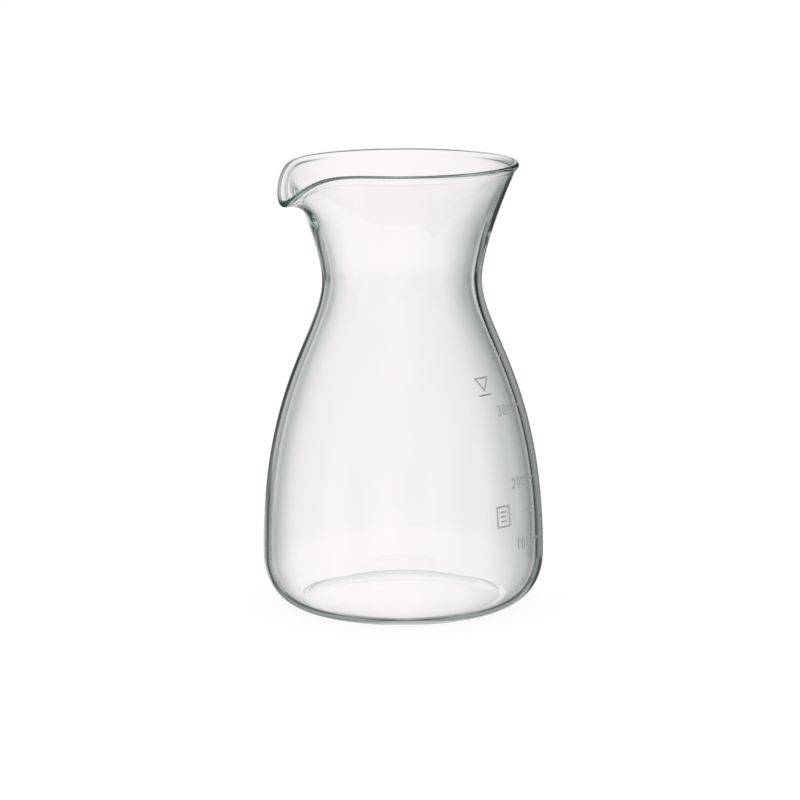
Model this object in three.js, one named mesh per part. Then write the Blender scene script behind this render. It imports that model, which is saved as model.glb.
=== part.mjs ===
// Heatproof glass decanter: one blown glass vessel with a pulled spout and a fired enamel print.
// Millimetres, +Z up. The origin is on the table under the vessel's axis, and the spout points along -X.
import * as THREE from 'three';

// Outer form of the glass, from the table up
const FOOT_RADIUS = 33.1;        // outer edge of the ring that the glass stands on
const FOOT_WIDTH = 2.3;          // width of that ring
const PUNT_DEPTH = 5.9;          // rise of the dome pushed up in the base
const BELLY_RADIUS = 44;         // widest outer radius
const BELLY_HEIGHT = 16.6;       // height of the widest ring above the table
const SHOULDER_HEIGHT = 86.3;    // rise from the widest ring to the waist
const WAIST_RADIUS = 24.9;       // outer radius of the waist
const NECK_HEIGHT = 36.5;        // rise from the waist to the top of the rim
const RIM_RADIUS = 36.45;        // outermost radius of the lip
const RIM_FLARE = 29;            // lean of the wall at the lip, in degrees from upright
const RIM_REACH = 3.7;           // length of wall that leans that far

// Fullness of the curves: the share of each rise that its end tangents reach
const HEEL_LEAD = 0.05;
const HEEL_FULLNESS = 0.83;
const SHOULDER_FULLNESS = 0.63;
const WAIST_FULLNESS = 0.193;
const NECK_FULLNESS = 0.271;

// Thickness of the glass
const FOOT_WALL = 2;             // at the foot ring
const WALL = 2.4;                // from the widest ring to the waist
const NECK_WALL = 1.4;           // just under the lip
const NECK_WALL_DEPTH = 3;       // depth below the rim at which the wall is that thin
const WALL_DEPTH = 26;           // depth below the rim at which it is as thick as at the belly
const LIP_THICKNESS = 2.05;      // bead of the fire-polished lip
const BEAD_LENGTH = 1.8;         // rise over which the wall swells into the bead

// Pouring spout, pulled out of the neck
const SPOUT_REACH = 3.3;         // how far the tip stands out past the rim
const SPOUT_DIP = 10.1;          // how far the tip lies below the rim
const SPOUT_LENGTH = 6.9;        // underside of the spout, from the throat to the tip
const SPOUT_SLOPE = 2.5;         // rise of that underside, in degrees
const SPOUT_START = 20;          // depth below the rim at which the wall begins to turn out
const THROAT_BEND = 1.5;         // length of each leg of the bend at the throat
const SPOUT_SPREAD = 66;         // half angle of neck that the pull draws in, in degrees
const SPOUT_ROUNDNESS = 14.3;    // half angle of the rounded crest of the spout, in degrees
const SPOUT_TAPER = 4;           // how fast the pull fades towards the sides

// Fired enamel print: a volume scale with plain numbers, a fill-level mark and a heat mark
const PRINT_GAP = 0.3;           // clearance between the print and the glass
const PRINT_THICKNESS = 0.25;
const PRINT_STROKE = 0.6;
const SCALE_AZIMUTH = 313;       // direction of the ticks' left ends, in degrees from +X
const SCALE_FIRST = 100;         // lowest level, in millilitres
const SCALE_LAST = 350;          // highest level, in millilitres
const SCALE_STEP = 50;           // millilitres from tick to tick
const SCALE_NUMBERED = 100;      // millilitres from number to number
const TICK_LONG = 6;
const TICK_SHORT = 3.5;
const NUMERAL_HEIGHT = 3.4;
const NUMERAL_WIDTH = 2;
const NUMERAL_SPACING = 0.7;     // gap between two digits
const NUMERAL_MARGIN = 1.5;      // gap between the last digit and the tick
const MARK_AZIMUTH = 294;        // direction of both marks, in degrees from +X
const LEVEL_MARK_HEIGHT = 73.6;  // height of the fill-level mark above the table
const LEVEL_MARK_WIDTH = 5.2;
const LEVEL_MARK_RISE = 4;       // rise of its triangle
const LEVEL_LINE_DROP = 1.4;     // distance of its line below the triangle
const HEAT_MARK_HEIGHT = 33.4;   // height of the heat mark above the table
const HEAT_FRAME_WIDTH = 5.2;
const HEAT_FRAME_HEIGHT = 6.2;
const HEAT_BARS = 3;
const HEAT_BAR_LENGTH = 2.6;
const HEAT_BAR_PITCH = 1.4;

// Fineness of the meshes
const SEGMENTS = 64;
const PUNT_STEPS = 5;
const HEEL_STEPS = 6;
const SHOULDER_STEPS = 10;
const NECK_STEPS = 14;
const NECK_CROWDING = 1.4;       // how much closer the neck's rings lie towards the lip
const LIP_STEPS = 6;
const ARC_STEPS = 8;
const STROKE_STEP = 1.2;         // longest straight stretch of a printed line
const FILL_STEP = 0.01;          // step along the inner wall for volumes
const DIFFERENCE = 1e-4;         // step for slopes worked out by differences

const { degToRad, lerp, clamp, smoothstep } = THREE.MathUtils;
const HEIGHT = BELLY_HEIGHT + SHOULDER_HEIGHT + NECK_HEIGHT;
const WAIST_LEVEL = BELLY_HEIGHT + SHOULDER_HEIGHT;
const LIP_RADIUS = LIP_THICKNESS / 2;
const BEAD_SWELL = (LIP_THICKNESS - NECK_WALL) / 2;

// Outer meridian
// Points are (radius, height). The curve parameter runs 0 to 1 on the heel, to 2 on the shoulder
// and to 3 on the neck.

const foot = new THREE.Vector2(FOOT_RADIUS, 0);
const belly = new THREE.Vector2(BELLY_RADIUS, BELLY_HEIGHT);
const waist = new THREE.Vector2(WAIST_RADIUS, WAIST_LEVEL);

// End of the outer wall at a lip whose middle is given, with the wall's direction there
function wallEnd(lipMiddle, direction) {
  const outward = new THREE.Vector2(direction.y, -direction.x);
  return lipMiddle.clone().addScaledVector(outward, NECK_WALL / 2);
}

const rimDirection = new THREE.Vector2(Math.sin(degToRad(RIM_FLARE)), Math.cos(degToRad(RIM_FLARE)));
const rimMiddle = new THREE.Vector2(RIM_RADIUS - LIP_RADIUS, HEIGHT - LIP_RADIUS);
const rim = wallEnd(rimMiddle, rimDirection);

const heelTurn = new THREE.Vector2(BELLY_RADIUS, BELLY_HEIGHT * (1 - HEEL_FULLNESS));
const heelCurve = new THREE.CubicBezierCurve(foot, foot.clone().lerp(heelTurn, HEEL_LEAD), heelTurn, belly);
const shoulderCurve = new THREE.CubicBezierCurve(
  belly,
  new THREE.Vector2(BELLY_RADIUS, BELLY_HEIGHT + SHOULDER_HEIGHT * SHOULDER_FULLNESS),
  new THREE.Vector2(WAIST_RADIUS, WAIST_LEVEL - SHOULDER_HEIGHT * WAIST_FULLNESS),
  waist,
);
const neckCurve = new THREE.CubicBezierCurve(
  waist,
  new THREE.Vector2(WAIST_RADIUS, WAIST_LEVEL + NECK_HEIGHT * NECK_FULLNESS),
  rim.clone().addScaledVector(rimDirection, -RIM_REACH),
  rim,
);

// Parameter at which a rising curve passes a height
function parameterAt(curve, height) {
  let low = 0;
  let high = 1;
  for (let step = 0; step < 40; step += 1) {
    const middle = (low + high) / 2;
    if (curve.getPoint(middle).y < height) low = middle;
    else high = middle;
  }
  return (low + high) / 2;
}

// Spout
// Its centre plane follows the neck up to the start, then bends at the throat and runs out to the tip.

const spoutDirection = new THREE.Vector2(Math.cos(degToRad(SPOUT_SLOPE)), Math.sin(degToRad(SPOUT_SLOPE)));
const tipMiddle = new THREE.Vector2(rimMiddle.x + SPOUT_REACH, rimMiddle.y - SPOUT_DIP);
const tip = wallEnd(tipMiddle, spoutDirection);
const throat = tip.clone().addScaledVector(spoutDirection, -SPOUT_LENGTH);
const spoutParameter = parameterAt(neckCurve, HEIGHT - SPOUT_START);
const spoutStart = neckCurve.getPoint(spoutParameter);
const startDirection = neckCurve.getTangent(spoutParameter);
const riseToThroat = throat.clone().sub(spoutStart).dot(startDirection);
const spoutCurve = new THREE.CubicBezierCurve(
  spoutStart,
  spoutStart.clone().addScaledVector(startDirection, riseToThroat - THROAT_BEND),
  throat.clone().addScaledVector(spoutDirection, THROAT_BEND),
  tip,
);

// Share of the spout's pull at an angle from its centre plane, in radians
function pullAt(angle) {
  const roundness = degToRad(SPOUT_ROUNDNESS);
  const away = (value) => Math.hypot(value, roundness) - roundness;
  const share = clamp(away(angle) / away(degToRad(SPOUT_SPREAD)), 0, 1);
  return (1 - share) ** SPOUT_TAPER;
}

function neckPoint(parameter, pull) {
  const point = neckCurve.getPoint(parameter);
  if (parameter <= spoutParameter) return point;
  const along = (parameter - spoutParameter) / (1 - spoutParameter);
  return point.lerp(spoutCurve.getPoint(along), pull);
}

function meridianPoint(parameter, pull) {
  if (parameter <= 1) return heelCurve.getPoint(parameter);
  if (parameter <= 2) return shoulderCurve.getPoint(parameter - 1);
  return neckPoint(parameter - 2, pull);
}

// Surface of the vessel

// Point at a radius and height, at an angle from the spout's centre plane
function placed(radius, height, angle) {
  return new THREE.Vector3(-radius * Math.cos(angle), -radius * Math.sin(angle), height);
}

// Outside of the wall, without the bead at the lip
function wallPoint(parameter, angle) {
  const point = meridianPoint(parameter, pullAt(angle));
  return placed(point.x, point.y, angle);
}

// Directions along the surface, up the wall and out of the glass
function surfaceFrame(parameter, angle) {
  const before = Math.max(parameter - DIFFERENCE, 0);
  const after = Math.min(parameter + DIFFERENCE, 3);
  const up = wallPoint(after, angle).sub(wallPoint(before, angle)).normalize();
  const along = wallPoint(parameter, angle + DIFFERENCE).sub(wallPoint(parameter, angle - DIFFERENCE));
  const out = along.clone().cross(up).normalize();
  const rise = out.clone().cross(along).normalize();
  return { out, rise };
}

// Depth of the wall below the top of the rim, away from the spout
function depthBelowRim(parameter) {
  return HEIGHT - meridianPoint(parameter, 0).y;
}

function wallThickness(parameter) {
  if (parameter <= 2) return lerp(FOOT_WALL, WALL, smoothstep(parameter, 0, 1));
  return lerp(NECK_WALL, WALL, smoothstep(depthBelowRim(parameter), NECK_WALL_DEPTH, WALL_DEPTH));
}

// How far the bead at the lip stands out of the wall, inside and outside
function beadSwell(parameter) {
  const belowLip = depthBelowRim(parameter) - depthBelowRim(3);
  return BEAD_SWELL * (1 - smoothstep(belowLip, 0, BEAD_LENGTH));
}

function outerPoint(parameter, angle) {
  const { out } = surfaceFrame(parameter, angle);
  return wallPoint(parameter, angle).addScaledVector(out, beadSwell(parameter));
}

function innerPoint(parameter, angle) {
  const { out } = surfaceFrame(parameter, angle);
  const inwards = wallThickness(parameter) + beadSwell(parameter);
  return wallPoint(parameter, angle).addScaledVector(out, -inwards);
}

// Point on the round lip, from 0 on the outer wall to 1 on the inner wall
function lipPoint(turn, angle) {
  const { out, rise } = surfaceFrame(3, angle);
  const middle = wallPoint(3, angle).addScaledVector(out, -NECK_WALL / 2);
  middle.addScaledVector(out, LIP_RADIUS * Math.cos(Math.PI * turn));
  return middle.addScaledVector(rise, LIP_RADIUS * Math.sin(Math.PI * turn));
}

// Parameters of the rings of the wall, from the foot to the lip
function wallParameters() {
  const parameters = [];
  for (let step = 0; step < HEEL_STEPS; step += 1) parameters.push(step / HEEL_STEPS);
  for (let step = 0; step < SHOULDER_STEPS; step += 1) parameters.push(1 + step / SHOULDER_STEPS);
  for (let step = NECK_STEPS; step >= 0; step -= 1) {
    parameters.push(3 - (step / NECK_STEPS) ** NECK_CROWDING);
  }
  return parameters;
}

// Rise of the dome in the base at a share of its radius
function puntRise(share) {
  return PUNT_DEPTH * (1 - share * share);
}

// Rings of the closed surface: under the base, up the outside, over the lip and down the inside
function vesselRings() {
  const parameters = wallParameters();
  const puntRadius = FOOT_RADIUS - FOOT_WIDTH;
  const floor = innerPoint(0, 0);
  const floorRadius = Math.hypot(floor.x, floor.y);
  const rings = [];
  for (let step = 1; step <= PUNT_STEPS; step += 1) {
    const share = step / PUNT_STEPS;
    rings.push((angle) => placed(puntRadius * share, puntRise(share), angle));
  }
  for (const parameter of parameters) rings.push((angle) => outerPoint(parameter, angle));
  for (let step = 1; step < LIP_STEPS; step += 1) rings.push((angle) => lipPoint(step / LIP_STEPS, angle));
  for (const parameter of parameters.toReversed()) rings.push((angle) => innerPoint(parameter, angle));
  for (let step = PUNT_STEPS - 1; step >= 1; step -= 1) {
    const share = step / PUNT_STEPS;
    rings.push((angle) => placed(floorRadius * share, floor.z + puntRise(share), angle));
  }
  const bottom = new THREE.Vector3(0, 0, PUNT_DEPTH);
  const top = new THREE.Vector3(0, 0, floor.z + PUNT_DEPTH);
  return { bottom, rings, top };
}

// Closed mesh of rings between two points on the axis
function ringGeometry({ bottom, rings, top }) {
  const points = [bottom];
  for (const ring of rings) {
    for (let segment = 0; segment < SEGMENTS; segment += 1) {
      points.push(ring(lerp(-Math.PI, Math.PI, segment / SEGMENTS)));
    }
  }
  points.push(top);
  const last = points.length - 1;
  const corner = (ring, segment) => 1 + ring * SEGMENTS + (segment % SEGMENTS);
  const triangles = [];
  for (let segment = 0; segment < SEGMENTS; segment += 1) {
    triangles.push(0, corner(0, segment + 1), corner(0, segment));
    for (let ring = 0; ring < rings.length - 1; ring += 1) {
      const low = [corner(ring, segment), corner(ring, segment + 1)];
      const high = [corner(ring + 1, segment), corner(ring + 1, segment + 1)];
      triangles.push(low[0], low[1], high[1], low[0], high[1], high[0]);
    }
    triangles.push(corner(rings.length - 1, segment), corner(rings.length - 1, segment + 1), last);
  }
  const geometry = new THREE.BufferGeometry().setFromPoints(points);
  geometry.setIndex(triangles);
  geometry.computeVertexNormals();
  return geometry;
}

// Fill levels

// Height at which the vessel holds a volume in millilitres, less the room that the crown of its floor takes
function fillLevel(millilitres) {
  const side = Math.PI;
  let below = innerPoint(0, side);
  let filled = -(Math.PI / 2) * below.x ** 2 * PUNT_DEPTH;
  for (let parameter = FILL_STEP; parameter < 3; parameter += FILL_STEP) {
    const above = innerPoint(parameter, side);
    const slice = (Math.PI / 3) * (above.x ** 2 + above.x * below.x + below.x ** 2) * (above.z - below.z);
    const wanted = millilitres * 1000 - filled;
    if (slice >= wanted) return lerp(below.z, above.z, wanted / slice);
    filled += slice;
    below = above;
  }
  return HEIGHT;
}

// Print

// Outline of a printed line of even width along points in the plane, open or closed
function strokeShape(path, closed = false) {
  const points = [];
  path.forEach((point, index) => {
    const next = path[index + 1] ?? (closed ? path[0] : null);
    if (!next) {
      points.push(point);
      return;
    }
    const pieces = Math.ceil(point.distanceTo(next) / STROKE_STEP);
    for (let piece = 0; piece < pieces; piece += 1) points.push(point.clone().lerp(next, piece / pieces));
  });
  const count = points.length;
  const side = (sign) => points.map((point, index) => {
    const previous = closed ? points[(index + count - 1) % count] : points[Math.max(index - 1, 0)];
    const following = closed ? points[(index + 1) % count] : points[Math.min(index + 1, count - 1)];
    const starts = index === 0 && !closed;
    const ends = index === count - 1 && !closed;
    const into = starts ? following.clone().sub(point).normalize() : point.clone().sub(previous).normalize();
    const from = ends ? into : following.clone().sub(point).normalize();
    const normal = new THREE.Vector2(-into.y - from.y, into.x + from.x).normalize();
    const mitre = normal.dot(new THREE.Vector2(-into.y, into.x));
    return point.clone().addScaledVector(normal, (sign * PRINT_STROKE) / (2 * mitre));
  });
  if (!closed) return new THREE.Shape([...side(1), ...side(-1).reverse()]);
  const shape = new THREE.Shape(side(-1));
  shape.holes.push(new THREE.Path(side(1)));
  return shape;
}

function arcPoints(x, y, radius, startDegrees, endDegrees) {
  const points = [];
  for (let step = 0; step <= ARC_STEPS; step += 1) {
    const angle = degToRad(lerp(startDegrees, endDegrees, step / ARC_STEPS));
    points.push(new THREE.Vector2(x + radius * Math.cos(angle), y + radius * Math.sin(angle)));
  }
  return points;
}

const planePoints = (...pairs) => pairs.map(([x, y]) => new THREE.Vector2(x, y));

// Digits, drawn around the middle of their own box
function numeralShape(digit) {
  const half = (NUMERAL_WIDTH - PRINT_STROKE) / 2;
  const top = (NUMERAL_HEIGHT - PRINT_STROKE) / 2;
  if (digit === '0') {
    const upper = arcPoints(0, top - half, half, 0, 180);
    return strokeShape([...upper, ...arcPoints(0, half - top, half, 180, 360)], true);
  }
  if (digit === '1') return strokeShape(planePoints([-half * 0.7, top * 0.55], [0, top], [0, -top]));
  if (digit === '2') {
    const bow = arcPoints(0, top - half, half, 170, -35);
    return strokeShape([...bow, ...planePoints([-half, -top], [half, -top])]);
  }
  const bowl = arcPoints(0, half - top, half, 70, -160);
  return strokeShape([...planePoints([-half, top], [half, top]), ...bowl]);
}

// Flat outline wrapped on the outside of the glass and thickened into a solid
function printMesh(name, shape, azimuth, height, shift = 0, lift = 0) {
  const geometry = new THREE.ExtrudeGeometry(shape, { depth: PRINT_THICKNESS, bevelEnabled: false });
  const position = geometry.getAttribute('position');
  const anchor = wallFrame(height);
  for (let index = 0; index < position.count; index += 1) {
    const across = position.getX(index) + shift;
    const level = height + (position.getY(index) + lift) * anchor.steepness;
    const wall = wallFrame(level);
    const outwards = PRINT_GAP + position.getZ(index);
    const radius = wall.radius + wall.outX * outwards;
    const angle = degToRad(azimuth) + across / anchor.radius;
    const z = level + wall.outZ * outwards;
    position.setXYZ(index, radius * Math.cos(angle), radius * Math.sin(angle), z);
  }
  geometry.computeVertexNormals();
  const mesh = new THREE.Mesh(geometry, enamel);
  mesh.name = name;
  return mesh;
}

// Radius and slope of the outer wall at a height, away from the spout
function wallFrame(height) {
  const aboveBelly = height < WAIST_LEVEL ? shoulderCurve : neckCurve;
  const curve = height < BELLY_HEIGHT ? heelCurve : aboveBelly;
  const parameter = parameterAt(curve, height);
  const tangent = curve.getTangent(parameter);
  return { radius: curve.getPoint(parameter).x, steepness: tangent.y, outX: tangent.y, outZ: -tangent.x };
}

// Ticks with their left ends in line, numbered at every other level
function scaleMeshes() {
  const meshes = [];
  const digitPitch = NUMERAL_WIDTH + NUMERAL_SPACING;
  for (let volume = SCALE_FIRST; volume <= SCALE_LAST; volume += SCALE_STEP) {
    const height = fillLevel(volume);
    const numbered = volume % SCALE_NUMBERED === 0;
    const tickLine = planePoints([0, 0], [numbered ? TICK_LONG : TICK_SHORT, 0]);
    meshes.push(printMesh(`scale_tick_${volume}`, strokeShape(tickLine), SCALE_AZIMUTH, height));
    if (!numbered) continue;
    const digits = String(volume);
    [...digits].forEach((digit, index) => {
      const name = `scale_${volume}_digit_${index + 1}`;
      const fromRight = digits.length - 1 - index;
      const shift = -NUMERAL_MARGIN - NUMERAL_WIDTH / 2 - fromRight * digitPitch;
      meshes.push(printMesh(name, numeralShape(digit), SCALE_AZIMUTH, height, shift));
    });
  }
  return meshes;
}

// Triangle standing on its point above a level line
function levelMarkMeshes() {
  const half = LEVEL_MARK_WIDTH / 2;
  const top = LEVEL_MARK_RISE / 2;
  const triangle = planePoints([-half, top], [0, -top], [half, top]);
  const line = planePoints([-half, 0], [half, 0]);
  const lineLift = -top - LEVEL_LINE_DROP;
  return [
    printMesh('level_mark_triangle', strokeShape(triangle, true), MARK_AZIMUTH, LEVEL_MARK_HEIGHT),
    printMesh('level_mark_line', strokeShape(line), MARK_AZIMUTH, LEVEL_MARK_HEIGHT, 0, lineLift),
  ];
}

// Upright frame holding level bars
function heatMarkMeshes() {
  const x = HEAT_FRAME_WIDTH / 2;
  const y = HEAT_FRAME_HEIGHT / 2;
  const frame = strokeShape(planePoints([-x, -y], [x, -y], [x, y], [-x, y]), true);
  const meshes = [printMesh('heat_mark_frame', frame, MARK_AZIMUTH, HEAT_MARK_HEIGHT)];
  for (let bar = 0; bar < HEAT_BARS; bar += 1) {
    const line = planePoints([-HEAT_BAR_LENGTH / 2, 0], [HEAT_BAR_LENGTH / 2, 0]);
    const lift = (bar - (HEAT_BARS - 1) / 2) * HEAT_BAR_PITCH;
    const name = `heat_mark_bar_${bar + 1}`;
    meshes.push(printMesh(name, strokeShape(line), MARK_AZIMUTH, HEAT_MARK_HEIGHT, 0, lift));
  }
  return meshes;
}

// Assembly

const glass = new THREE.MeshStandardMaterial({
  color: 0xe6eeec,
  roughness: 0.03,
  metalness: 0,
  transparent: true,
  opacity: 0.35,
});
const enamel = new THREE.MeshStandardMaterial({ color: 0xb8b7b3, roughness: 0.5, metalness: 0 });

const vessel = new THREE.Mesh(ringGeometry(vesselRings()), glass);
vessel.name = 'glass_vessel';

const decanter = new THREE.Group();
decanter.add(vessel, ...scaleMeshes(), ...levelMarkMeshes(), ...heatMarkMeshes());

export default decanter;
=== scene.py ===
import math

import bmesh
import bpy
import numpy as np
from mathutils import Euler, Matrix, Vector


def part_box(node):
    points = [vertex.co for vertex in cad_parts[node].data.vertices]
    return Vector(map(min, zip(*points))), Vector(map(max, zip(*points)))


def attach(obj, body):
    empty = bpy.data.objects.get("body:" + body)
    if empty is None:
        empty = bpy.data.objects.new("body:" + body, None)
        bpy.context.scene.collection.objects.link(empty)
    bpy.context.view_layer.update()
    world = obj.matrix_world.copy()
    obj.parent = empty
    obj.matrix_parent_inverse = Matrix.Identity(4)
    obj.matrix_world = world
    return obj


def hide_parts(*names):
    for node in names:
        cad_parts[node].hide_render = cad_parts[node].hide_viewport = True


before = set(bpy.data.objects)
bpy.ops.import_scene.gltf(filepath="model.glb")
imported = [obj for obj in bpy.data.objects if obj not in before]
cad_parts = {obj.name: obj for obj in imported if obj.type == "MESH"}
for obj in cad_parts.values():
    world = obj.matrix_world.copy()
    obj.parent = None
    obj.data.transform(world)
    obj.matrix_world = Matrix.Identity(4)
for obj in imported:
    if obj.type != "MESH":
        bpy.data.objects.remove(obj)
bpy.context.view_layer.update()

MM = 0.001

# Sizes of the glass that the frame gives, in millimetres
GLASS_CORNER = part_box("glass_vessel")[1]
BELLY_RADIUS = GLASS_CORNER[1] / MM
HEIGHT = GLASS_CORNER[2] / MM

# Outer form of the glass that the frame can't give, in millimetres and degrees
FOOT_RADIUS = 33.1        # outer edge of the ring that the glass stands on
FOOT_WIDTH = 2.3          # width of that ring
PUNT_DEPTH = 5.9          # rise of the dome pushed up in the base
BELLY_HEIGHT = 16.6       # height of the widest ring above the table
SHOULDER_HEIGHT = 86.3    # rise from the widest ring to the waist
WAIST_RADIUS = 24.9       # outer radius of the waist
RIM_RADIUS = 36.45        # outermost radius of the lip
RIM_FLARE = 29            # lean of the wall at the lip, from upright
RIM_REACH = 3.7           # length of wall that leans that far

# Fullness of the curves: the share of each rise that its end tangents reach
HEEL_LEAD = 0.05
HEEL_FULLNESS = 0.83
SHOULDER_FULLNESS = 0.63
WAIST_FULLNESS = 0.193
NECK_FULLNESS = 0.271

# Thickness of the glass
FOOT_WALL = 2.0           # at the foot ring
WALL = 2.4                # from the widest ring to the waist
NECK_WALL = 1.4           # just under the lip
NECK_WALL_DEPTH = 3       # depth below the rim at which the wall is that thin
WALL_DEPTH = 26           # depth below the rim at which it is as thick as at the belly
LIP_THICKNESS = 2.05      # bead of the fire-polished lip
BEAD_LENGTH = 1.8         # rise over which the wall swells into the bead

# Pouring spout, pulled out of the neck
SPOUT_REACH = 3.3         # how far the tip stands out past the rim
SPOUT_DIP = 10.1          # how far the tip lies below the rim
SPOUT_LENGTH = 6.9        # underside of the spout, from the throat to the tip
SPOUT_SLOPE = 2.5         # rise of that underside, in degrees
SPOUT_START = 20          # depth below the rim at which the wall begins to turn out
THROAT_BEND = 1.5         # length of each leg of the bend at the throat
SPOUT_SPREAD = 66         # half angle of neck that the pull draws in
SPOUT_ROUNDNESS = 14.3    # half angle of the rounded crest of the spout
SPOUT_TAPER = 4           # how fast the pull fades towards the sides

# Print: where its solids lie in the frame, and the film that stands for them
PRINT_GAP = 0.3           # clearance between a solid and the glass
PRINT_THICKNESS = 0.25    # thickness of a solid
FILM_LIFT = 0.01          # clearance between the film and the glass
FILM_THICKNESS = 0.04

# Slight waves that blowing leaves on the inside, as (waves around, radians along each curve)
WAVES = ((3, 2), (5, -4), (8, 7))
WAVE_HEIGHT = 0.015
WAVE_FADE_FOOT = 0.5      # curve parameter over which they fade towards the foot
WAVE_FADE_LIP = 0.6       # and towards the lip

# Fineness of the glass mesh
SEGMENTS = 208            # faces around the axis
PUNT_STEPS = 40
HEEL_STEPS = 28
SHOULDER_STEPS = 56
NECK_STEPS = 96
NECK_CROWDING = 1.4       # power by which the neck's rings crowd towards the lip
LIP_STEPS = 16

# Fineness of what is worked out on the curves
NECK_SAMPLES = 4001       # points of the neck in which a height is looked up
FILM_SAMPLES = (400, 2000, 1000)  # points of the heel, shoulder and neck that the film is laid on
WELD_DISTANCE = 0.001     # corners of a printed solid that lie closer are one
DIFFERENCE = 1e-4         # step of the parameter and of the angle for slopes

# Glass: per metre it absorbs the density times what its tint lacks of white. Faint streaks run up the body.
GLASS_IOR = 1.473
GLASS_TINT = (0.72, 0.86, 0.84, 1)
GLASS_DENSITY = 5.0
CLEAR_GLASS = (1, 1, 1, 1)
STREAK_GLASS = (0.985, 0.99, 0.988, 1)
STREAKS_PER_METRE = (140, 140, 18)
STREAK_DETAIL = 2.0

# Enamel: two greys that the fired grains lie between, their size, roughness and relief
ENAMEL_DARK = (0.315, 0.335, 0.325, 1)
ENAMEL_LIGHT = (0.43, 0.452, 0.44, 1)
ENAMEL_SMOOTH = 0.38
ENAMEL_ROUGH = 0.6
GRAINS_PER_METRE = (1400, 1400, 1400)
GRAIN_DETAIL = 3.0
GRAIN_HEIGHT = 0.01
GRAIN_STRENGTH = 0.4

# Range of the raw noise that is spread over 0 to 1
NOISE_LOW = 0.3
NOISE_HIGH = 0.7

# Camera at the photograph's viewing angle, in degrees, metres and millimetres of lens
CAMERA_AZIMUTH = -21.35
CAMERA_ELEVATION = 10.38
CAMERA_DISTANCE = 1.300
CAMERA_ROLL = -0.29
CAMERA_LENS = 187.0
CAMERA_SHIFT = -0.0033
AIM_HEIGHT = 0.0644

# Floor: half its side in metres, its drop below the foot in millimetres, its own colour and its glow
FLOOR_REACH = 4.0
FLOOR_DROP = 0.1
FLOOR_COLOUR = (0.10, 0.10, 0.10, 1)
FLOOR_GLOW = 0.92
WHITE = (1, 1, 1, 1)

# Bounces that a ray may have in the glass and through the floor
GLASS_BOUNCES = 128
CLEAR_BOUNCES = 32

# Direction that the studio is measured from: the camera's line of sight, counterclockwise from +X
STUDIO_AZIMUTH = 90 + CAMERA_AZIMUTH

# Light as (degrees from there, level), worked out by a program from the photograph, then changed
PANEL_LIGHT = (
    (-22.5, 0.98), (-20.5, 0.90), (-17.5, 0.36), (-16, 0.28), (-14, 0.25), (-6, 0.69), (-3, 0.92), (0, 1),
    (5, 0.99), (16, 0.64), (17, 0.65), (18.5, 0.87), (20, 0.98), (22.5, 1),
)
WALL_LIGHT = (
    (-45, 0.15), (-36, 0.00), (-33, 0.05), (-30, 0.28), (-27, 0.43), (-18, 0.62), (-12, 0.62), (-6, 0.35),
    (6, 0.08), (15, 0.04), (18, 0.20), (24, 0.86), (33, 0.48), (36, 0.47), (39, 0.55), (42, 0.45), (45, 0.15),
)
LOW_LIGHT = (
    (-45, 0.10), (-42, 0.02), (-36, 0.02), (-33, 0.06), (-27, 0.36), (-15, 0.68), (-12, 0.68), (0, 0.35),
    (6, 0.28), (12, 0.30), (15, 0.45), (18, 0.43), (24, 0.14), (27, 0.25), (30, 0.50), (33, 0.50), (39, 0.28),
    (42, 0.28), (45, 0.10),
)
WAIST_LIGHT = (
    (-45, 0.10), (-39, 0.05), (-36, 0.14), (-30, 0.41), (-24, 0.35), (-21, 0.16), (-18, 0.06), (-12, 0.15),
    (-4, 0.40), (6, 0.55), (12, 0.70), (15, 0.48), (18, 0.16), (21, 0.10), (24, 0.20), (30, 0.58), (39, 0.54),
    (42, 0.40), (45, 0.10),
)

# Light set for the photograph's view, the lists as (degrees from there, level)
HEEL_LIGHT = (
    (-180, 1), (-70, 1), (-62, 0.4), (-50, 0.4), (-42, 1), (-35, 0.15), (-28, 0.15), (-23, 0.8), (0, 0.95),
    (21, 0.8), (25, 0.15), (30, 0.15), (37, 1), (180, 1),
)
FLOOR_SIDES_LIGHT = ((-180, 1), (-14, 1), (-8, 0), (8, 0), (14, 1), (180, 1))
AHEAD_LIGHT = ((-180, 0.03), (-60, 0.03), (-40, 1), (40, 1), (60, 0.03), (180, 0.03))
BESIDE_LIGHT = ((-180, 0), (68, 0), (84, 0.6), (140, 0.6), (155, 0), (180, 0))
BACKDROP_LIGHT = ((-180, 0.06), (-11, 0.06), (-7.5, 0.95), (4, 0.95), (8, 0.06), (180, 0.06))
FLARE_LIGHT = ((-180, 0), (0, 0), (5, 0.8), (18, 0.8), (26, 0.1), (40, 0), (180, 0))
HIGH_LIGHT = 0.4
DEEP_TRAPPED_LIGHT = 0.85

# Change of the light over the rise of a ray, the sine of its elevation: from, to, level under and level over
PANELS_OVER_WHITE = (-0.82, -0.57, 0, 1)
CLEAR_TOP = (0.17, 0.30, 1, 0.25)
FLOOR_NEAR = (-0.80, -0.70, 1, 0.15)
FLOOR_FAR = (-0.60, -0.36, 0.15, 1)
WALL_OVER_LOW = (-0.17, -0.12, 0, 1)
WAIST_UNDERSIDE = (-0.36, -0.31, 0, 1)
WAIST_TOP = (-0.235, -0.21, 1, 0)
HIGH_OVER_WALL = (0.12, 0.22, 0, 1)
WALL_OVER_HEEL = (-0.48, -0.42, 0, 1)
HEEL_STRENGTH = (-0.85, -0.78, 0.04, 0.45)
DEEP_STRENGTH = (-0.50, 0.15, 0.35, 1.05)
TRAPPED_LOW = (-0.42, -0.22, 0.8, 0.05)
TRAPPED_AHEAD = (0.55, 0.75, 0.03, 0.9)
TRAPPED_BESIDE = (0.20, 0.32, 1, 0)
BACKDROP_TOP = (0.42, 0.56, 1, 0.06)
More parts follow.
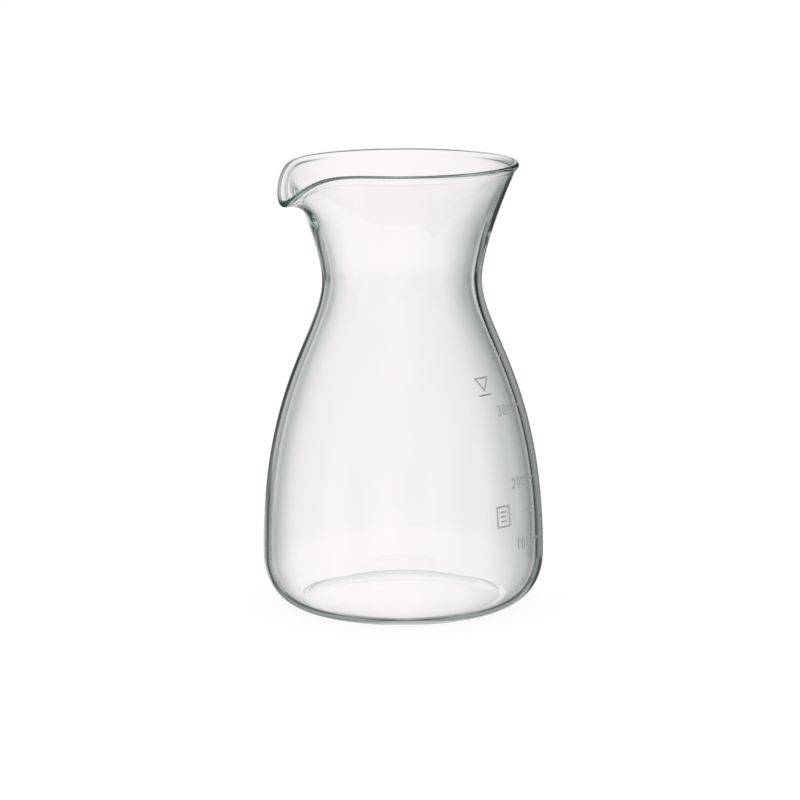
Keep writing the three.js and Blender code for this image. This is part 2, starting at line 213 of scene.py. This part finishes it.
FLARE_UNDERSIDE = (-0.34, -0.30, 0, 1)
FLARE_TOP = (-0.20, -0.17, 1, 0)

# Counts of a ray's bounces that part the kinds of light, halfway between whole numbers
MIRRORED = 0.5            # over it, the ray was mirrored inside the glass
TRAPPED = 2.5             # over it, the ray ran along inside the wall
ONE_WALL = 2.5            # under it, the ray entered and left one wall only

# Cast of the light: gain over green, and how fast the colour fades as the light dims down to a floor
RED_CAST = (1.045, 0.16)
BLUE_CAST = (1.014, 0.03)
CAST_FLOOR = 0.28

NECK_HEIGHT = HEIGHT - BELLY_HEIGHT - SHOULDER_HEIGHT
WAIST_LEVEL = BELLY_HEIGHT + SHOULDER_HEIGHT
LIP_RADIUS = LIP_THICKNESS / 2
BEAD_SWELL = (LIP_THICKNESS - NECK_WALL) / 2

# Ends of the outer wall's three curves, on one parameter that runs from the foot to the lip
HEEL_END = 1
SHOULDER_END = 2
NECK_END = 3


# Outer meridian, as (radius, height)

def bezier(corners, share):
    share = np.asarray(share, float)[..., None]
    first, second, third, last = (np.asarray(corner, float) for corner in corners)
    rest = 1 - share
    ends = rest ** 3 * first + share ** 3 * last
    return ends + 3 * rest ** 2 * share * second + 3 * rest * share ** 2 * third


def heading(degrees_from_level):
    angle = math.radians(degrees_from_level)
    return np.array([math.cos(angle), math.sin(angle)])


def wall_end(lip_middle, direction):
    """End of the outer wall at a lip whose middle is given, with the wall's direction there."""
    return lip_middle + NECK_WALL / 2 * np.array([direction[1], -direction[0]])


FOOT = np.array([FOOT_RADIUS, 0.0])
BELLY = np.array([BELLY_RADIUS, BELLY_HEIGHT])
WAIST = np.array([WAIST_RADIUS, WAIST_LEVEL])
RIM_MIDDLE = np.array([RIM_RADIUS - LIP_RADIUS, HEIGHT - LIP_RADIUS])
RIM_HEADING = heading(90 - RIM_FLARE)
RIM = wall_end(RIM_MIDDLE, RIM_HEADING)
HEEL_TURN = np.array([BELLY_RADIUS, BELLY_HEIGHT * (1 - HEEL_FULLNESS)])
HEEL = (FOOT, FOOT + HEEL_LEAD * (HEEL_TURN - FOOT), HEEL_TURN, BELLY)
SHOULDER = (
    BELLY,
    BELLY + np.array([0, SHOULDER_HEIGHT * SHOULDER_FULLNESS]),
    WAIST - np.array([0, SHOULDER_HEIGHT * WAIST_FULLNESS]),
    WAIST,
)
NECK = (WAIST, WAIST + np.array([0, NECK_HEIGHT * NECK_FULLNESS]), RIM - RIM_REACH * RIM_HEADING, RIM)


# Centre plane of the spout, which leaves the neck at its start and bends at the throat

def neck_share_at(height):
    shares = np.linspace(0, 1, NECK_SAMPLES)
    return float(np.interp(height, bezier(NECK, shares)[:, 1], shares))


SPOUT_SHARE = neck_share_at(HEIGHT - SPOUT_START)
SPOUT_BASE = bezier(NECK, SPOUT_SHARE)
BASE_STEP = bezier(NECK, SPOUT_SHARE + DIFFERENCE) - SPOUT_BASE
BASE_HEADING = BASE_STEP / np.linalg.norm(BASE_STEP)
SPOUT_HEADING = heading(SPOUT_SLOPE)
TIP = wall_end(RIM_MIDDLE + np.array([SPOUT_REACH, -SPOUT_DIP]), SPOUT_HEADING)
THROAT = TIP - SPOUT_LENGTH * SPOUT_HEADING
THROAT_RISE = float((THROAT - SPOUT_BASE) @ BASE_HEADING) - THROAT_BEND
SPOUT = (SPOUT_BASE, SPOUT_BASE + THROAT_RISE * BASE_HEADING, THROAT + THROAT_BEND * SPOUT_HEADING, TIP)


def pull_at(angle):
    """How much of the spout's pull the neck takes, at an angle from the spout's middle."""
    roundness = math.radians(SPOUT_ROUNDNESS)
    spread = math.hypot(math.radians(SPOUT_SPREAD), roundness) - roundness
    away = (np.hypot(angle, roundness) - roundness) / spread
    return (1 - np.clip(away, 0, 1)) ** SPOUT_TAPER


def meridian(parameter, pull):
    """Point of the outer wall for each pull."""
    pull = np.asarray(pull)[..., None]
    if parameter <= HEEL_END:
        return bezier(HEEL, parameter) + 0 * pull
    if parameter <= SHOULDER_END:
        return bezier(SHOULDER, parameter - HEEL_END) + 0 * pull
    share = parameter - SHOULDER_END
    plain = bezier(NECK, share)
    if share <= SPOUT_SHARE:
        return plain + 0 * pull
    pulled = bezier(SPOUT, (share - SPOUT_SHARE) / (1 - SPOUT_SHARE))
    return plain + pull * (pulled - plain)


# Surfaces of the vessel, as rings of points

def placed(points, angle):
    """Points of the meridian set around the axis, with the spout at angle 0, along -X."""
    radius, height = points[..., 0], points[..., 1]
    height = height + 0 * angle
    return np.stack([-radius * np.cos(angle), -radius * np.sin(angle), height], -1)


def wall_ring(parameter, angle):
    """Outside of the wall without the bead at its lip."""
    return placed(meridian(parameter, pull_at(angle)), angle)


def unit(vectors):
    return vectors / np.linalg.norm(vectors, axis=-1, keepdims=True)


def ring_frame(parameter, angle):
    """Directions out of the wall and up along it."""
    after = wall_ring(min(parameter + DIFFERENCE, NECK_END), angle)
    before = wall_ring(max(parameter - DIFFERENCE, 0), angle)
    along = wall_ring(parameter, angle + DIFFERENCE) - wall_ring(parameter, angle - DIFFERENCE)
    out = unit(np.cross(along, after - before))
    return out, unit(np.cross(out, along))


def smoothstep(value, low, high):
    share = min(max((value - low) / (high - low), 0), 1)
    return share * share * (3 - 2 * share)


def depth_below_rim(parameter):
    return HEIGHT - float(meridian(parameter, 0.0)[1])


def wall_thickness(parameter):
    if parameter <= SHOULDER_END:
        return FOOT_WALL + (WALL - FOOT_WALL) * smoothstep(parameter, 0, HEEL_END)
    thick = smoothstep(depth_below_rim(parameter), NECK_WALL_DEPTH, WALL_DEPTH)
    return NECK_WALL + (WALL - NECK_WALL) * thick


def bead_swell(parameter):
    """How far the bead at the lip stands out of the wall, inside and outside."""
    below_lip = depth_below_rim(parameter) - depth_below_rim(NECK_END)
    return BEAD_SWELL * (1 - smoothstep(below_lip, 0, BEAD_LENGTH))


def outer_ring(parameter, angle):
    out, _ = ring_frame(parameter, angle)
    return wall_ring(parameter, angle) + bead_swell(parameter) * out


def unevenness(parameter, angle):
    """How much thicker the wall is where the waves on its inside stand proud."""
    fade = smoothstep(parameter, 0, WAVE_FADE_FOOT) * smoothstep(NECK_END - parameter, 0, WAVE_FADE_LIP)
    waves = sum(np.sin(around * angle + along * parameter) for around, along in WAVES)
    return (WAVE_HEIGHT * fade / len(WAVES) * waves)[..., None]


def inner_ring(parameter, angle):
    out, _ = ring_frame(parameter, angle)
    depth = wall_thickness(parameter) + bead_swell(parameter) + unevenness(parameter, angle)
    return wall_ring(parameter, angle) - depth * out


def lip_ring(turn, angle):
    """Ring of the bead, from its outside at turn 0 over its top to its inside at turn 1."""
    out, rise = ring_frame(NECK_END, angle)
    middle = wall_ring(NECK_END, angle) - NECK_WALL / 2 * out
    return middle + LIP_RADIUS * (math.cos(math.pi * turn) * out + math.sin(math.pi * turn) * rise)


def dome_ring(radius, share, lift, angle):
    """Ring of the dome pushed up in the base, at a share of its radius."""
    height = lift + PUNT_DEPTH * (1 - share ** 2)
    return placed(np.array([radius * share, height]), angle)


def vessel_rings(angle):
    """Rings from the middle of the base outside, over the lip, to the middle of the floor inside."""
    heel = np.arange(HEEL_STEPS) / HEEL_STEPS
    shoulder = HEEL_END + np.arange(SHOULDER_STEPS) / SHOULDER_STEPS
    neck = NECK_END - np.linspace(1, 0, NECK_STEPS + 1) ** NECK_CROWDING
    parameters = np.concatenate([heel, shoulder, neck])
    punt_radius = FOOT_RADIUS - FOOT_WIDTH
    floor = inner_ring(0, np.zeros(1))[0]
    shares = np.arange(1, PUNT_STEPS + 1) / PUNT_STEPS
    rings = [dome_ring(punt_radius, share, 0, angle) for share in shares]
    rings += [outer_ring(parameter, angle) for parameter in parameters]
    rings += [lip_ring(step / LIP_STEPS, angle) for step in range(1, LIP_STEPS)]
    rings += [inner_ring(parameter, angle) for parameter in parameters[::-1]]
    rings += [dome_ring(-floor[0], share, floor[2], angle) for share in shares[-2::-1]]
    return rings, (0, 0, PUNT_DEPTH), (0, 0, floor[2] + PUNT_DEPTH)


def vessel_mesh():
    """Closed mesh: the rings joined by quads, with a fan at the middle of the base and of the floor."""
    angle = np.linspace(-math.pi, math.pi, SEGMENTS, endpoint=False)
    rings, bottom, top = vessel_rings(angle)
    points = np.concatenate([[bottom], *rings, [top]]) * MM
    here = np.arange(SEGMENTS)
    beside = np.roll(here, -1)
    faces = [(0, 1 + b, 1 + a) for a, b in zip(here, beside)]
    for ring in range(len(rings) - 1):
        low = 1 + ring * SEGMENTS
        high = low + SEGMENTS
        faces += [(low + a, low + b, high + b, high + a) for a, b in zip(here, beside)]
    last = 1 + (len(rings) - 1) * SEGMENTS
    faces += [(last + a, last + b, len(points) - 1) for a, b in zip(here, beside)]
    mesh = bpy.data.meshes.new("glass")
    mesh.from_pydata(points.tolist(), [], [tuple(int(i) for i in face) for face in faces])
    mesh.polygons.foreach_set("use_smooth", np.ones(len(mesh.polygons), bool))
    mesh.validate()
    return mesh


# Shader nodes

def add_node(tree, kind, **values):
    node = tree.nodes.new(kind)
    for name, value in values.items():
        setattr(node, name, value)
    return node


def feed(tree, socket, value):
    """Links a socket to another, or sets its value."""
    if isinstance(value, bpy.types.NodeSocket):
        tree.links.new(value, socket)
    else:
        socket.default_value = value


def set_inputs(tree, node, values):
    for name, value in values.items():
        feed(tree, node.inputs[name], value)


def calculate(tree, operation, first, *others):
    """The values, joined one after another by an operation of two."""
    for other in others:
        node = add_node(tree, "ShaderNodeMath", operation=operation)
        feed(tree, node.inputs[0], first)
        feed(tree, node.inputs[1], other)
        first = node.outputs[0]
    return first


def choose(tree, factor, otherwise, value):
    """Value where the factor is 1, and otherwise where it is 0."""
    node = add_node(tree, "ShaderNodeMix", data_type="FLOAT")
    set_inputs(tree, node, {"Factor": factor, "A": otherwise, "B": value})
    return node.outputs["Result"]


def ramp(tree, value, from_min, from_max, to_min, to_max):
    node = add_node(tree, "ShaderNodeMapRange", interpolation_type="SMOOTHSTEP")
    limits = {"From Min": from_min, "From Max": from_max, "To Min": to_min, "To Max": to_max}
    set_inputs(tree, node, {"Value": value, **limits})
    return node.outputs["Result"]


def noise(tree, per_metre, detail):
    """Noise in the piece's own space, spread over 0 to 1."""
    mapping = add_node(tree, "ShaderNodeMapping")
    place = add_node(tree, "ShaderNodeTexCoord").outputs["Object"]
    set_inputs(tree, mapping, {"Vector": place, "Scale": per_metre})
    texture = add_node(tree, "ShaderNodeTexNoise")
    set_inputs(tree, texture, {"Vector": mapping.outputs["Vector"], "Scale": 1.0, "Detail": detail})
    return ramp(tree, texture.outputs["Fac"], NOISE_LOW, NOISE_HIGH, 0, 1)


def colour_between(tree, factor, first, second):
    node = add_node(tree, "ShaderNodeMix", data_type="RGBA")
    feed(tree, node.inputs["Factor"], factor)
    ends = [socket for socket in node.inputs if socket.type == "RGBA"]
    for socket, colour in zip(ends, (first, second)):
        socket.default_value = colour
    return next(socket for socket in node.outputs if socket.type == "RGBA")


# Materials

def new_material(name):
    material = bpy.data.materials.new(name)
    material.use_nodes = True
    tree = material.node_tree
    return material, tree, tree.nodes["Principled BSDF"]


def glass_material():
    material, tree, shader = new_material("heatproof_glass")
    streaks = noise(tree, STREAKS_PER_METRE, STREAK_DETAIL)
    set_inputs(tree, shader, {
        "Base Color": colour_between(tree, streaks, CLEAR_GLASS, STREAK_GLASS),
        "Roughness": 0.0,
        "IOR": GLASS_IOR,
        "Transmission Weight": 1.0,
    })
    absorption = add_node(tree, "ShaderNodeVolumeAbsorption")
    set_inputs(tree, absorption, {"Color": GLASS_TINT, "Density": GLASS_DENSITY})
    set_inputs(tree, tree.nodes["Material Output"], {"Volume": absorption.outputs["Volume"]})
    return material


def enamel_material():
    material, tree, shader = new_material("fired_enamel")
    grains = noise(tree, GRAINS_PER_METRE, GRAIN_DETAIL)
    bump = add_node(tree, "ShaderNodeBump")
    set_inputs(tree, bump, {"Strength": GRAIN_STRENGTH, "Distance": GRAIN_HEIGHT * MM, "Height": grains})
    set_inputs(tree, shader, {
        "Base Color": colour_between(tree, grains, ENAMEL_DARK, ENAMEL_LIGHT),
        "Roughness": ramp(tree, grains, 0, 1, ENAMEL_SMOOTH, ENAMEL_ROUGH),
        "Normal": bump.outputs["Normal"],
    })
    return material


def floor_material():
    """White floor that only the camera and soft light see: the glass sees the studio through it."""
    material, tree, shader = new_material("white_floor")
    set_inputs(tree, shader, {
        "Base Color": FLOOR_COLOUR,
        "Roughness": 1.0,
        "Specular IOR Level": 0.0,
        "Emission Color": WHITE,
        "Emission Strength": FLOOR_GLOW,
    })
    path = add_node(tree, "ShaderNodeLightPath").outputs
    see_through = calculate(tree, "MAXIMUM", path["Is Transmission Ray"], path["Is Glossy Ray"])
    clear = add_node(tree, "ShaderNodeBsdfTransparent")
    mix = add_node(tree, "ShaderNodeMixShader")
    for socket, value in zip(mix.inputs, (see_through, shader.outputs[0], clear.outputs[0])):
        feed(tree, socket, value)
    set_inputs(tree, tree.nodes["Material Output"], {"Surface": mix.outputs[0]})
    return material


# Pieces

def finish_piece(name, mesh, material, slot, *nodes):
    piece = bpy.data.objects.new(name, mesh)
    bpy.context.scene.collection.objects.link(piece)
    mesh.materials.append(material)
    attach(piece, "root")
    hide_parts(*nodes)


def outer_profile():
    """Close points of the outer meridian, and the directions out of the glass there."""
    curves = zip((HEEL, SHOULDER, NECK), FILM_SAMPLES)
    wall = np.concatenate([bezier(curve, np.linspace(0, 1, samples)) for curve, samples in curves])
    slope = unit(np.gradient(wall, axis=0))
    return wall, np.stack([slope[:, 1], -slope[:, 0]], -1)


def film_mesh(node, wall, outward):
    """The mark's CAD outline, laid on the glass as a thin film."""
    shape = bmesh.new()
    shape.from_mesh(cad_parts[node].data)
    bmesh.ops.remove_doubles(shape, verts=shape.verts, dist=WELD_DISTANCE * MM)
    for vertex in shape.verts:
        x, y, z = (value / MM for value in vertex.co)
        here = np.array([math.hypot(x, y), z])
        offset = here - wall
        nearest = int(np.argmin((offset ** 2).sum(1)))
        share = (float(offset[nearest] @ outward[nearest]) - PRINT_GAP) / PRINT_THICKNESS
        lift = FILM_LIFT + FILM_THICKNESS * share
        radius, height = wall[nearest] + lift * outward[nearest]
        turn = math.atan2(y, x)
        vertex.co = Vector((radius * math.cos(turn), radius * math.sin(turn), height)) * MM
    mesh = bpy.data.meshes.new(node)
    shape.to_mesh(mesh)
    shape.free()
    return mesh


def make_glass():
    finish_piece("glass_body", vessel_mesh(), glass_material(), "glass", "glass_vessel")


def make_print():
    enamel = enamel_material()
    profile = outer_profile()
    for node in sorted(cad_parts):
        if node != "glass_vessel":
            finish_piece(f"{node}_film", film_mesh(node, *profile), enamel, "enamel", node)


# Studio

class Sky:
    """The world's nodes, with the direction and the history of the ray that they light."""

    def __init__(self, tree):
        self.tree = tree
        self.path = add_node(tree, "ShaderNodeLightPath").outputs
        split = add_node(tree, "ShaderNodeSeparateXYZ")
        feed(tree, split.inputs[0], add_node(tree, "ShaderNodeTexCoord").outputs["Generated"])
        self.rise = split.outputs["Z"]
        self.around = calculate(tree, "ARCTAN2", split.outputs["Y"], split.outputs["X"])

    def by_rise(self, change):
        return ramp(self.tree, self.rise, *change)

    def by_azimuth(self, levels):
        """Light around the object, repeated at the pitch that its levels span."""
        pitch = levels[-1][0] - levels[0][0]
        turns = calculate(self.tree, "MULTIPLY", self.around, 180 / math.pi / pitch)
        turns = calculate(self.tree, "ADD", turns, 0.5 - STUDIO_AZIMUTH / pitch)
        node = add_node(self.tree, "ShaderNodeValToRGB")
        feed(self.tree, node.inputs[0], calculate(self.tree, "FRACT", turns, 0.0))
        stops = node.color_ramp.elements
        while len(stops) < len(levels):
            stops.new(0.5)
        for stop, (degrees, light) in zip(stops, levels):
            stop.position = 0.5 + degrees / pitch
            stop.color = (light, light, light, 1)
        return node.outputs["Color"]

    def product(self, *levels):
        return calculate(self.tree, "MULTIPLY", *levels)

    def brightest(self, *levels):
        return calculate(self.tree, "MAXIMUM", *levels)

    def choose(self, factor, otherwise, value):
        return choose(self.tree, factor, otherwise, value)

    def over(self, count, limit):
        """1 where a count of the ray's bounces is over a limit, and otherwise 0."""
        return calculate(self.tree, "GREATER_THAN", self.path[count], limit)


def clear_light(sky):
    """Seen straight through the glass: panels all around, dim above and on a strip of floor ahead."""
    panels = sky.choose(sky.by_rise(PANELS_OVER_WHITE), 1.0, sky.by_azimuth(PANEL_LIGHT))
    strip = sky.brightest(sky.by_rise(FLOOR_FAR), sky.by_rise(FLOOR_NEAR), sky.by_azimuth(FLOOR_SIDES_LIGHT))
    return sky.product(panels, sky.by_rise(CLEAR_TOP), strip)


def wall_light(sky):
    """Seen through one wall, mirrored once or twice in it, from the heel's steep rays to the high ones."""
    level = sky.choose(sky.by_rise(WALL_OVER_LOW), sky.by_azimuth(LOW_LIGHT), sky.by_azimuth(WALL_LIGHT))
    waist = sky.product(sky.by_rise(WAIST_UNDERSIDE), sky.by_rise(WAIST_TOP))
    level = sky.choose(waist, level, sky.by_azimuth(WAIST_LIGHT))
    level = sky.choose(sky.by_rise(HIGH_OVER_WALL), level, HIGH_LIGHT)
    heel = sky.product(sky.by_rise(HEEL_STRENGTH), sky.by_azimuth(HEEL_LIGHT))
    return sky.choose(sky.by_rise(WALL_OVER_HEEL), heel, level)


def trapped_light(sky):
    """Seen at the end of a long way inside one wall."""
    ahead = sky.product(sky.by_rise(TRAPPED_AHEAD), sky.by_azimuth(AHEAD_LIGHT))
    beside = sky.product(sky.by_rise(TRAPPED_BESIDE), sky.by_azimuth(BESIDE_LIGHT))
    return sky.brightest(sky.by_rise(TRAPPED_LOW), ahead, beside)


def through_light(sky):
    """Seen through the glass, by how the ray went through it."""
    trapped = sky.over("Glossy Depth", TRAPPED)
    in_wall = sky.choose(trapped, wall_light(sky), trapped_light(sky))
    in_body = sky.choose(trapped, sky.by_rise(DEEP_STRENGTH), DEEP_TRAPPED_LIGHT)
    mirrored = sky.choose(sky.over("Transmission Depth", ONE_WALL), in_wall, in_body)
    return sky.choose(sky.over("Glossy Depth", MIRRORED), clear_light(sky), mirrored)


def mirrored_light(sky):
    """Mirrored on the outside of the glass: a bright backdrop, and a glint under the flared mouth."""
    backdrop = sky.product(sky.by_rise(BACKDROP_TOP), sky.by_azimuth(BACKDROP_LIGHT))
    flare = sky.product(sky.by_rise(FLARE_UNDERSIDE), sky.by_rise(FLARE_TOP), sky.by_azimuth(FLARE_LIGHT))
    return sky.brightest(backdrop, flare)


def cast(sky, level, gain, fall):
    """One colour of a light that is warm where it is bright and cool where it is dim."""
    warmth = calculate(sky.tree, "POWER", sky.brightest(level, CAST_FLOOR), fall)
    return sky.product(warmth, gain, level)


def make_world():
    """White to the camera and to soft light. The glass sees light fitted by direction and kind of ray."""
    world = bpy.data.worlds.new("studio")
    world.use_nodes = True
    bpy.context.scene.world = world
    tree = world.node_tree
    sky = Sky(tree)
    level = sky.choose(sky.path["Is Glossy Ray"], 1.0, mirrored_light(sky))
    level = sky.choose(sky.path["Is Transmission Ray"], level, through_light(sky))
    level = sky.choose(sky.path["Is Camera Ray"], level, 1.0)
    colour = add_node(tree, "ShaderNodeCombineColor")
    channels = {"Red": cast(sky, level, *RED_CAST), "Green": level, "Blue": cast(sky, level, *BLUE_CAST)}
    set_inputs(tree, colour, channels)
    set_inputs(tree, tree.nodes["Background"], {"Color": colour.outputs["Color"]})


def make_floor():
    mesh = bpy.data.meshes.new("floor")
    corners = [(-1, -1), (1, -1), (1, 1), (-1, 1)]
    mesh.from_pydata([(x * FLOOR_REACH, y * FLOOR_REACH, 0) for x, y in corners], [], [(0, 1, 2, 3)])
    mesh.materials.append(floor_material())
    floor = bpy.data.objects.new("floor", mesh)
    floor.location.z = -FLOOR_DROP * MM
    bpy.context.scene.collection.objects.link(floor)


def make_camera():
    data = bpy.data.cameras.new("camera")
    data.lens = CAMERA_LENS
    data.shift_x = CAMERA_SHIFT
    camera = bpy.data.objects.new("camera", data)
    bpy.context.scene.collection.objects.link(camera)
    around = math.radians(CAMERA_AZIMUTH)
    above = math.radians(CAMERA_ELEVATION)
    level = math.cos(above)
    back = Vector((math.sin(around) * level, -math.cos(around) * level, math.sin(above)))
    camera.location = Vector((0, 0, AIM_HEIGHT)) + CAMERA_DISTANCE * back
    roll = Euler((0, 0, math.radians(CAMERA_ROLL))).to_matrix()
    turn = (-back).to_track_quat("-Z", "Y").to_matrix() @ roll
    camera.rotation_euler = turn.to_euler()
    bpy.context.scene.camera = camera


def settle_render():
    scene = bpy.context.scene
    scene.view_settings.view_transform = "Standard"
    scene.cycles.max_bounces = GLASS_BOUNCES
    scene.cycles.transmission_bounces = GLASS_BOUNCES
    scene.cycles.glossy_bounces = GLASS_BOUNCES
    scene.cycles.transparent_max_bounces = CLEAR_BOUNCES


make_camera()
make_world()
make_floor()
settle_render()
make_glass()
make_print()
